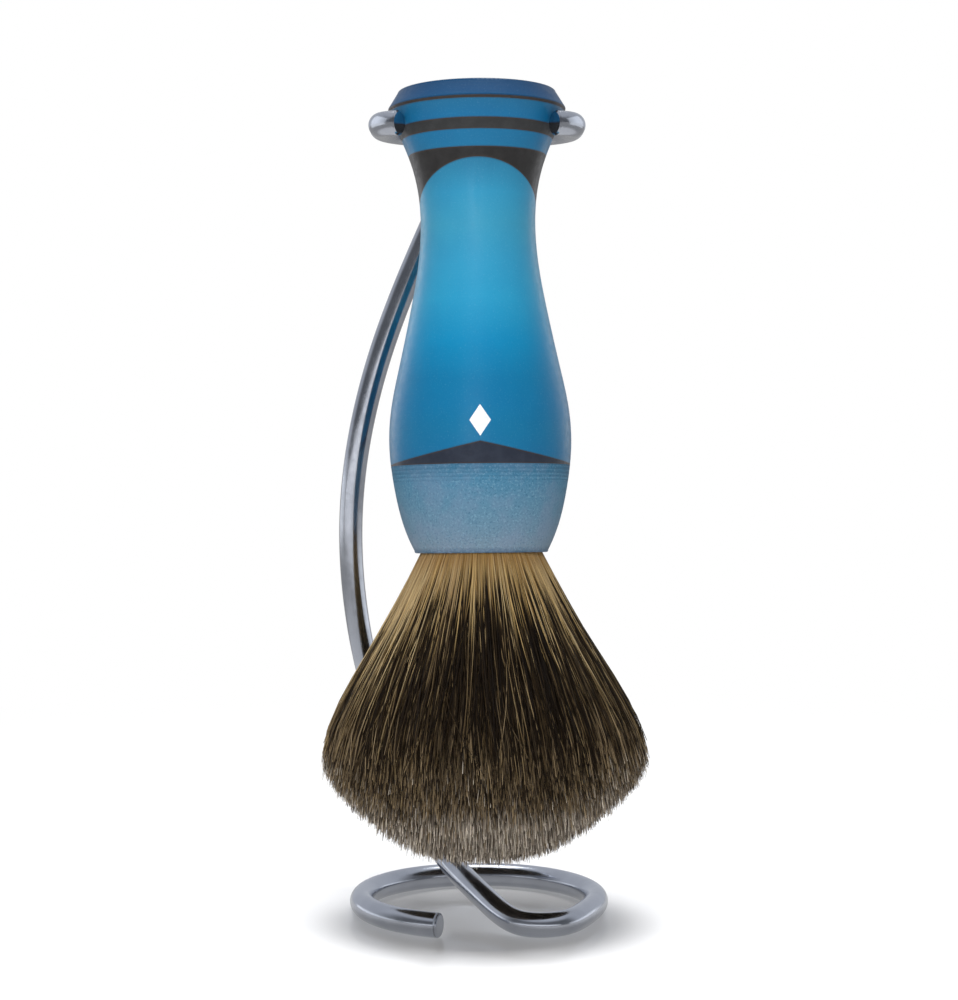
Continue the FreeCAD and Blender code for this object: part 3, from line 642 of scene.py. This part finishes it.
pieces = []
rng = np.random.default_rng(4117)
OUTER, DOME = 10500, 19500
centres = rng.uniform(0, 2 * math.pi, 240)
for part in range(3):
    n = OUTER // 3
    share = 1.0 - 0.16 * rng.uniform(0, 1, n) ** 1.3
    angle = rng.uniform(0, 2 * math.pi, n)
    sway = rng.normal(0, 0.06, n)
    stray = rng.uniform(0, 1, n) < 0.24
    sway = np.where(stray, rng.normal(0, 0.17, n), sway)
    t1 = 1.0 - np.abs(rng.normal(0, 0.05, n))
    t1 = np.where(rng.uniform(0, 1, n) < 0.06, rng.uniform(1.0, 1.015, n), t1)
    lift = np.where(stray, rng.uniform(0.0, 0.45, n), rng.normal(-0.02, 0.2, n))
    obj = strands(
        f"hair_outer_{part + 1}", share, angle, np.full(n, -0.004), t1, 9, rng.uniform(0.058, 0.105, n),
        kinds(angle, rng), rng, lift, sway, lock_of(angle, centres), 0.36,
    )
    pieces.append(obj)
for part in range(3):
    n = DOME // 3
    share = np.sqrt(rng.uniform(0.0, 1.0, n)) * 0.99
    angle = rng.uniform(0, 2 * math.pi, n)
    sway = rng.normal(0, 0.06, n)
    t1 = 1.0 - np.abs(rng.normal(0, 0.026, n))
    t1 = np.where(rng.uniform(0, 1, n) < 0.04, rng.uniform(1.0, 1.012, n), t1)
    lift = rng.normal(0.0, 0.3, n)
    obj = strands(
        f"hair_dome_{part + 1}", share, angle, np.full(n, 0.6), t1, 5, rng.uniform(0.07, 0.125, n),
        rng.integers(0, COLUMNS, n), rng, lift, sway,
    )
    pieces.append(obj)


def hair_core():
    """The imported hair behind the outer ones: one closed form just under them."""
    around, rows = 192, []
    for t in np.linspace(0.0, 0.93, 30):
        r, h = hair_point(np.array(0.93), 0.0, np.array(t))
        rows.append((float(r), float(h), float(t)))
    for share in np.linspace(0.93, 0.0, 22)[1:]:
        r, h = hair_point(np.array(share), 0.0, np.array(0.93))
        rows.append((float(r), float(h), 0.93 + 0.06 * (0.93 - share)))
    rows = [(0.0, MOUTH, 0.0)] + rows
    verts, uvs, faces = [], [], []
    for r, h, t in rows[:-1][1:]:
        for i in range(around):
            q = 2 * math.pi * i / around
            x = r * math.cos(q) - 0.35 * max(t, 0) ** 3
            verts.append((x, r * math.sin(q), h))
    n_rows = len(rows) - 2
    top = len(verts)
    verts.append((0.0, 0.0, MOUTH))
    bottom = len(verts)
    verts.append((-0.35, 0.0, rows[-1][1]))
    ts = [row[2] for row in rows[1:-1]]
    for j in range(n_rows - 1):
        for i in range(around):
            k = (i + 1) % around
            faces.append((j * around + i, (j + 1) * around + i, (j + 1) * around + k, j * around + k))
            u0, u1 = i / around, (i + 1) / around
            uvs += [(u0, ts[j]), (u0, ts[j + 1]), (u1, ts[j + 1]), (u1, ts[j])]
    for i in range(around):
        k = (i + 1) % around
        u0, u1 = i / around, (i + 1) / around
        faces.append((top, i, k))
        uvs += [((u0 + u1) / 2, 0.0), (u0, 0.004), (u1, 0.004)]
        j = (n_rows - 1) * around
        faces.append((j + i, bottom, j + k))
        uvs += [(u0, ts[-1]), ((u0 + u1) / 2, 0.999), (u1, ts[-1])]
    v = np.array(verts)
    world = brush_to_world(v[:, 0], v[:, 1], v[:, 2])
    mesh = bpy.data.meshes.new("hair_core")
    mesh.from_pydata([tuple(p) for p in world], [], faces)
    layer = mesh.uv_layers.new(name=UV_NAME)
    for i, p in enumerate(uvs):
        layer.data[i].uv = p
    for p in mesh.polygons:
        p.use_smooth = True
    mesh.update()
    obj = bpy.data.objects.new("hair_core", mesh)
    scene.collection.objects.link(obj)
    s = Surface("badger_hair_core", Roughness=0.6, IOR=1.5, Specular_IOR_Level=0.15)
    uv = s.node("ShaderNodeUVMap", uv_map=UV_NAME).outputs["UV"]
    sep = s.node("ShaderNodeSeparateXYZ")
    s.put(sep.inputs[0], uv)
    streak = s.noise(s.scaled(uv, 260.0, 3.0, 1.0), 1.0, 3.0, 0.6)
    shift = s.math("ADD", sep.outputs[1], s.math("MULTIPLY", s.math("SUBTRACT", streak, 0.5), 0.35))
    base = s.ramp(
        shift,
        [(0.0, lin(120, 90, 52)), (0.12, lin(132, 104, 64)), (0.26, lin(48, 38, 27)), (0.4, lin(26, 21, 16)), (0.8, lin(24, 19, 15)), (0.95, lin(60, 52, 44))],
        "LINEAR",
    )
    base = s.mix(s.span(streak, 0.5, 0.75, 0.0, 0.5), base, lin(86, 70, 48))
    s.set("Base Color", base)
    s.set("Normal", s.bump(streak, 0.0001))
    mesh.materials.append(s.material)
    return obj


core = hair_core()
for obj in pieces:
    obj.data.materials.append(hair_material)
for obj in pieces + [core]:
    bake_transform(obj)
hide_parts("hair_knot")

# ---------------------------------------------------------------- floor
floor_mesh = bpy.data.meshes.new("floor")
ring = 96
points = [(0.0, 0.0, 0.0)]
for radius in (0.15, 0.6, 2.0, 6.0, 14.0):
    points += [(radius * math.cos(2 * math.pi * i / ring), radius * math.sin(2 * math.pi * i / ring), 0.0) for i in range(ring)]
faces = [(0, 1 + i, 1 + (i + 1) % ring) for i in range(ring)]
for j in range(4):
    a, b = 1 + j * ring, 1 + (j + 1) * ring
    faces += [(a + i, b + i, b + (i + 1) % ring, a + (i + 1) % ring) for i in range(ring)]
floor_mesh.from_pydata([(x, y, z - 0.00002) for x, y, z in points], [], faces)
floor = bpy.data.objects.new("floor", floor_mesh)
scene.collection.objects.link(floor)
s = Surface("floor_pale", Roughness=0.16, IOR=1.45)
p = s.place_mm()
s.set("Base Color", s.mix(s.span(s.noise(p, 0.02, 3.0, 0.5), 0.3, 0.7), lin(249, 249, 250), lin(251, 251, 252)))
s.set("Roughness", s.span(s.noise(p, 0.05, 3.0, 0.5), 0.3, 0.7, 0.12, 0.18))
away = s.span(s.vector("LENGTH", p, (0.0, 0.0, 0.0)), 70.0, 260.0)
glow = s.node("ShaderNodeEmission")
glow.inputs["Color"].default_value = (1.0, 1.0, 1.0, 1.0)
ray = s.node("ShaderNodeLightPath")
s.put(glow.inputs["Strength"], s.span(ray.outputs["Is Camera Ray"], 0.0, 1.0, 0.38, 1.0, smooth=False))
s.bsdf.inputs["Emission Color"].default_value = (1.0, 1.0, 1.0, 1.0)
s.bsdf.inputs["Emission Strength"].default_value = 0.16
fade = s.node("ShaderNodeMixShader")
s.put(fade.inputs["Fac"], s.math("MAXIMUM", away, s.math("MULTIPLY", ray.outputs["Is Glossy Ray"], 0.6)))
s.tree.links.new(s.bsdf.outputs["BSDF"], fade.inputs[1])
s.tree.links.new(glow.outputs["Emission"], fade.inputs[2])
s.tree.links.new(fade.outputs["Shader"], s.out.inputs["Surface"])
floor_mesh.materials.append(s.material)

# ---------------------------------------------------------------- light
world = bpy.data.worlds.new("studio")
scene.world = world
world.use_nodes = True
tree = world.node_tree
tree.nodes.clear()
w_out = tree.nodes.new("ShaderNodeOutputWorld")
seen = tree.nodes.new("ShaderNodeBackground")
seen.inputs["Color"].default_value = (1.0, 1.0, 1.0, 1.0)
seen.inputs["Strength"].default_value = 1.0
room = tree.nodes.new("ShaderNodeBackground")
room.inputs["Strength"].default_value = 1.0
coord = tree.nodes.new("ShaderNodeTexCoord")
sep = tree.nodes.new("ShaderNodeSeparateXYZ")
tree.links.new(coord.outputs["Generated"], sep.inputs[0])


def world_span(value, low, high, to_low, to_high):
    n = tree.nodes.new("ShaderNodeMapRange")
    n.interpolation_type = "SMOOTHSTEP"
    for key, number in (("From Min", low), ("From Max", high), ("To Min", to_low), ("To Max", to_high)):
        n.inputs[key].default_value = number
    tree.links.new(value, n.inputs["Value"])
    return n.outputs["Result"]


def world_join(operation, a, b):
    n = tree.nodes.new("ShaderNodeMath")
    n.operation = operation
    tree.links.new(a, n.inputs[0])
    tree.links.new(b, n.inputs[1])
    return n.outputs[0]


# a white sweep behind and overhead, and a dim room on the camera's side
sweep = world_span(sep.outputs["Y"], -0.25, 0.35, 0.15, 0.58)
ceiling = world_span(sep.outputs["Z"], 0.45, 0.8, 0.0, 0.6)
level = world_join("MAXIMUM", sweep, ceiling)
tint = tree.nodes.new("ShaderNodeCombineXYZ")
for i, share in enumerate((0.95, 0.99, 1.07)):
    n = tree.nodes.new("ShaderNodeMath")
    n.operation = "MULTIPLY"
    tree.links.new(level, n.inputs[0])
    n.inputs[1].default_value = share
    tree.links.new(n.outputs[0], tint.inputs[i])
tree.links.new(tint.outputs[0], room.inputs["Color"])
path = tree.nodes.new("ShaderNodeLightPath")
soft = tree.nodes.new("ShaderNodeBackground")
soft.inputs["Color"].default_value = (0.97, 0.98, 1.0, 1.0)
soft.inputs["Strength"].default_value = 0.17
gloss = tree.nodes.new("ShaderNodeMixShader")
tree.links.new(path.outputs["Is Glossy Ray"], gloss.inputs["Fac"])
tree.links.new(soft.outputs["Background"], gloss.inputs[1])
tree.links.new(room.outputs["Background"], gloss.inputs[2])
mix = tree.nodes.new("ShaderNodeMixShader")
tree.links.new(path.outputs["Is Camera Ray"], mix.inputs["Fac"])
tree.links.new(gloss.outputs["Shader"], mix.inputs[1])
tree.links.new(seen.outputs["Background"], mix.inputs[2])
tree.links.new(mix.outputs["Shader"], w_out.inputs["Surface"])


def softbox(name, place, aim, width, height, power, colour=(1.0, 1.0, 1.0)):
    light = bpy.data.lights.new(name, "AREA")
    light.shape = "RECTANGLE"
    light.size, light.size_y = width, height
    light.energy = power
    light.color = colour
    obj = bpy.data.objects.new(name, light)
    scene.collection.objects.link(obj)
    obj.location = place
    obj.rotation_euler = (Vector(aim) - Vector(place)).to_track_quat("-Z", "Y").to_euler()
    return obj


left = softbox("box_left", (-0.60, 0.16, 0.20), (0, 0, 0.08), 0.74, 0.7, 1.15, (0.92, 0.96, 1.0))
right = softbox("box_right", (0.60, 0.18, 0.20), (0, 0, 0.08), 0.74, 0.7, 1.05, (0.92, 0.96, 1.0))
rim_left = softbox("rim_left", (-0.40, 0.46, 0.16), (0, 0, 0.08), 0.22, 0.6, 0.62, (0.97, 0.97, 1.0))
rim_right = softbox("rim_right", (0.40, 0.46, 0.16), (0, 0, 0.08), 0.22, 0.6, 0.40, (0.97, 0.97, 1.0))
card = softbox("wire_card", (-0.06, -0.30, 0.050), (-0.02, 0.0, 0.052), 1.1, 0.060, 0.20, (0.97, 0.98, 1.0))
side_left = softbox("wire_side_left", (-0.60, 0.16, 0.045), (0, 0, 0.045), 0.74, 0.10, 0.17, (0.96, 0.98, 1.0))
side_right = softbox("wire_side_right", (0.60, 0.18, 0.045), (0, 0, 0.045), 0.74, 0.10, 0.15, (0.96, 0.98, 1.0))
metal, resin = bpy.data.collections.new("metal_only"), bpy.data.collections.new("resin_only")
wire_only = bpy.data.collections.new("wire_only")
for name in ("cradle_fork", "cradle_braze"):
    metal.objects.link(bpy.data.objects[name])
for name in ("cradle_fork", "cradle_braze", "stand_wire", "knot_socket"):
    resin.objects.link(bpy.data.objects[name])
for item in pieces + [core, floor, bpy.data.objects["crown_cap"]]:
    resin.objects.link(item)
for item in resin.collection_objects:
    item.light_linking.link_state = "EXCLUDE"
wire_only.objects.link(bpy.data.objects["stand_wire"])
for lamp in (left, right, rim_left, rim_right, card, side_left, side_right):
    lamp.visible_diffuse = False
left.light_linking.receiver_collection = right.light_linking.receiver_collection = metal
side_left.light_linking.receiver_collection = side_right.light_linking.receiver_collection = wire_only
rim_left.light_linking.receiver_collection = rim_right.light_linking.receiver_collection = resin
card.light_linking.receiver_collection = wire_only
front = softbox("box_front", (-0.10, -0.80, 0.26), (0, 0, 0.09), 0.34, 0.5, 5.6)
front.visible_glossy = False
off_table = bpy.data.collections.new("off_table")
off_table.objects.link(floor)
off_table.collection_objects[0].light_linking.link_state = "EXCLUDE"
front.light_linking.receiver_collection = off_table
softbox("box_top", (0.0, 0.20, 0.70), (0, 0, 0.0), 0.36, 0.36, 1.4)
table_light = softbox("box_table", (0.0, -0.06, 0.60), (0, 0, 0.0), 0.26, 0.26, 3.9)
table_light.visible_glossy = False
on_table = bpy.data.collections.new("on_table")
on_table.objects.link(floor)
table_light.light_linking.receiver_collection = on_table

# ---------------------------------------------------------------- camera
camera_data = bpy.data.cameras.new("camera")
camera_data.sensor_width = 36.0
camera_data.sensor_fit = "AUTO"
camera_data.lens = 87.58
camera_data.clip_start = 0.01
camera_data.clip_end = 60.0
camera = bpy.data.objects.new("camera", camera_data)
scene.collection.objects.link(camera)
camera.location = (0.0, -0.400, 0.092976)
camera.rotation_euler = (math.radians(90.0 - 3.4919), 0.0, 0.0)
scene.camera = camera
scene.view_settings.view_transform = "Standard"
scene.view_settings.look = "None"
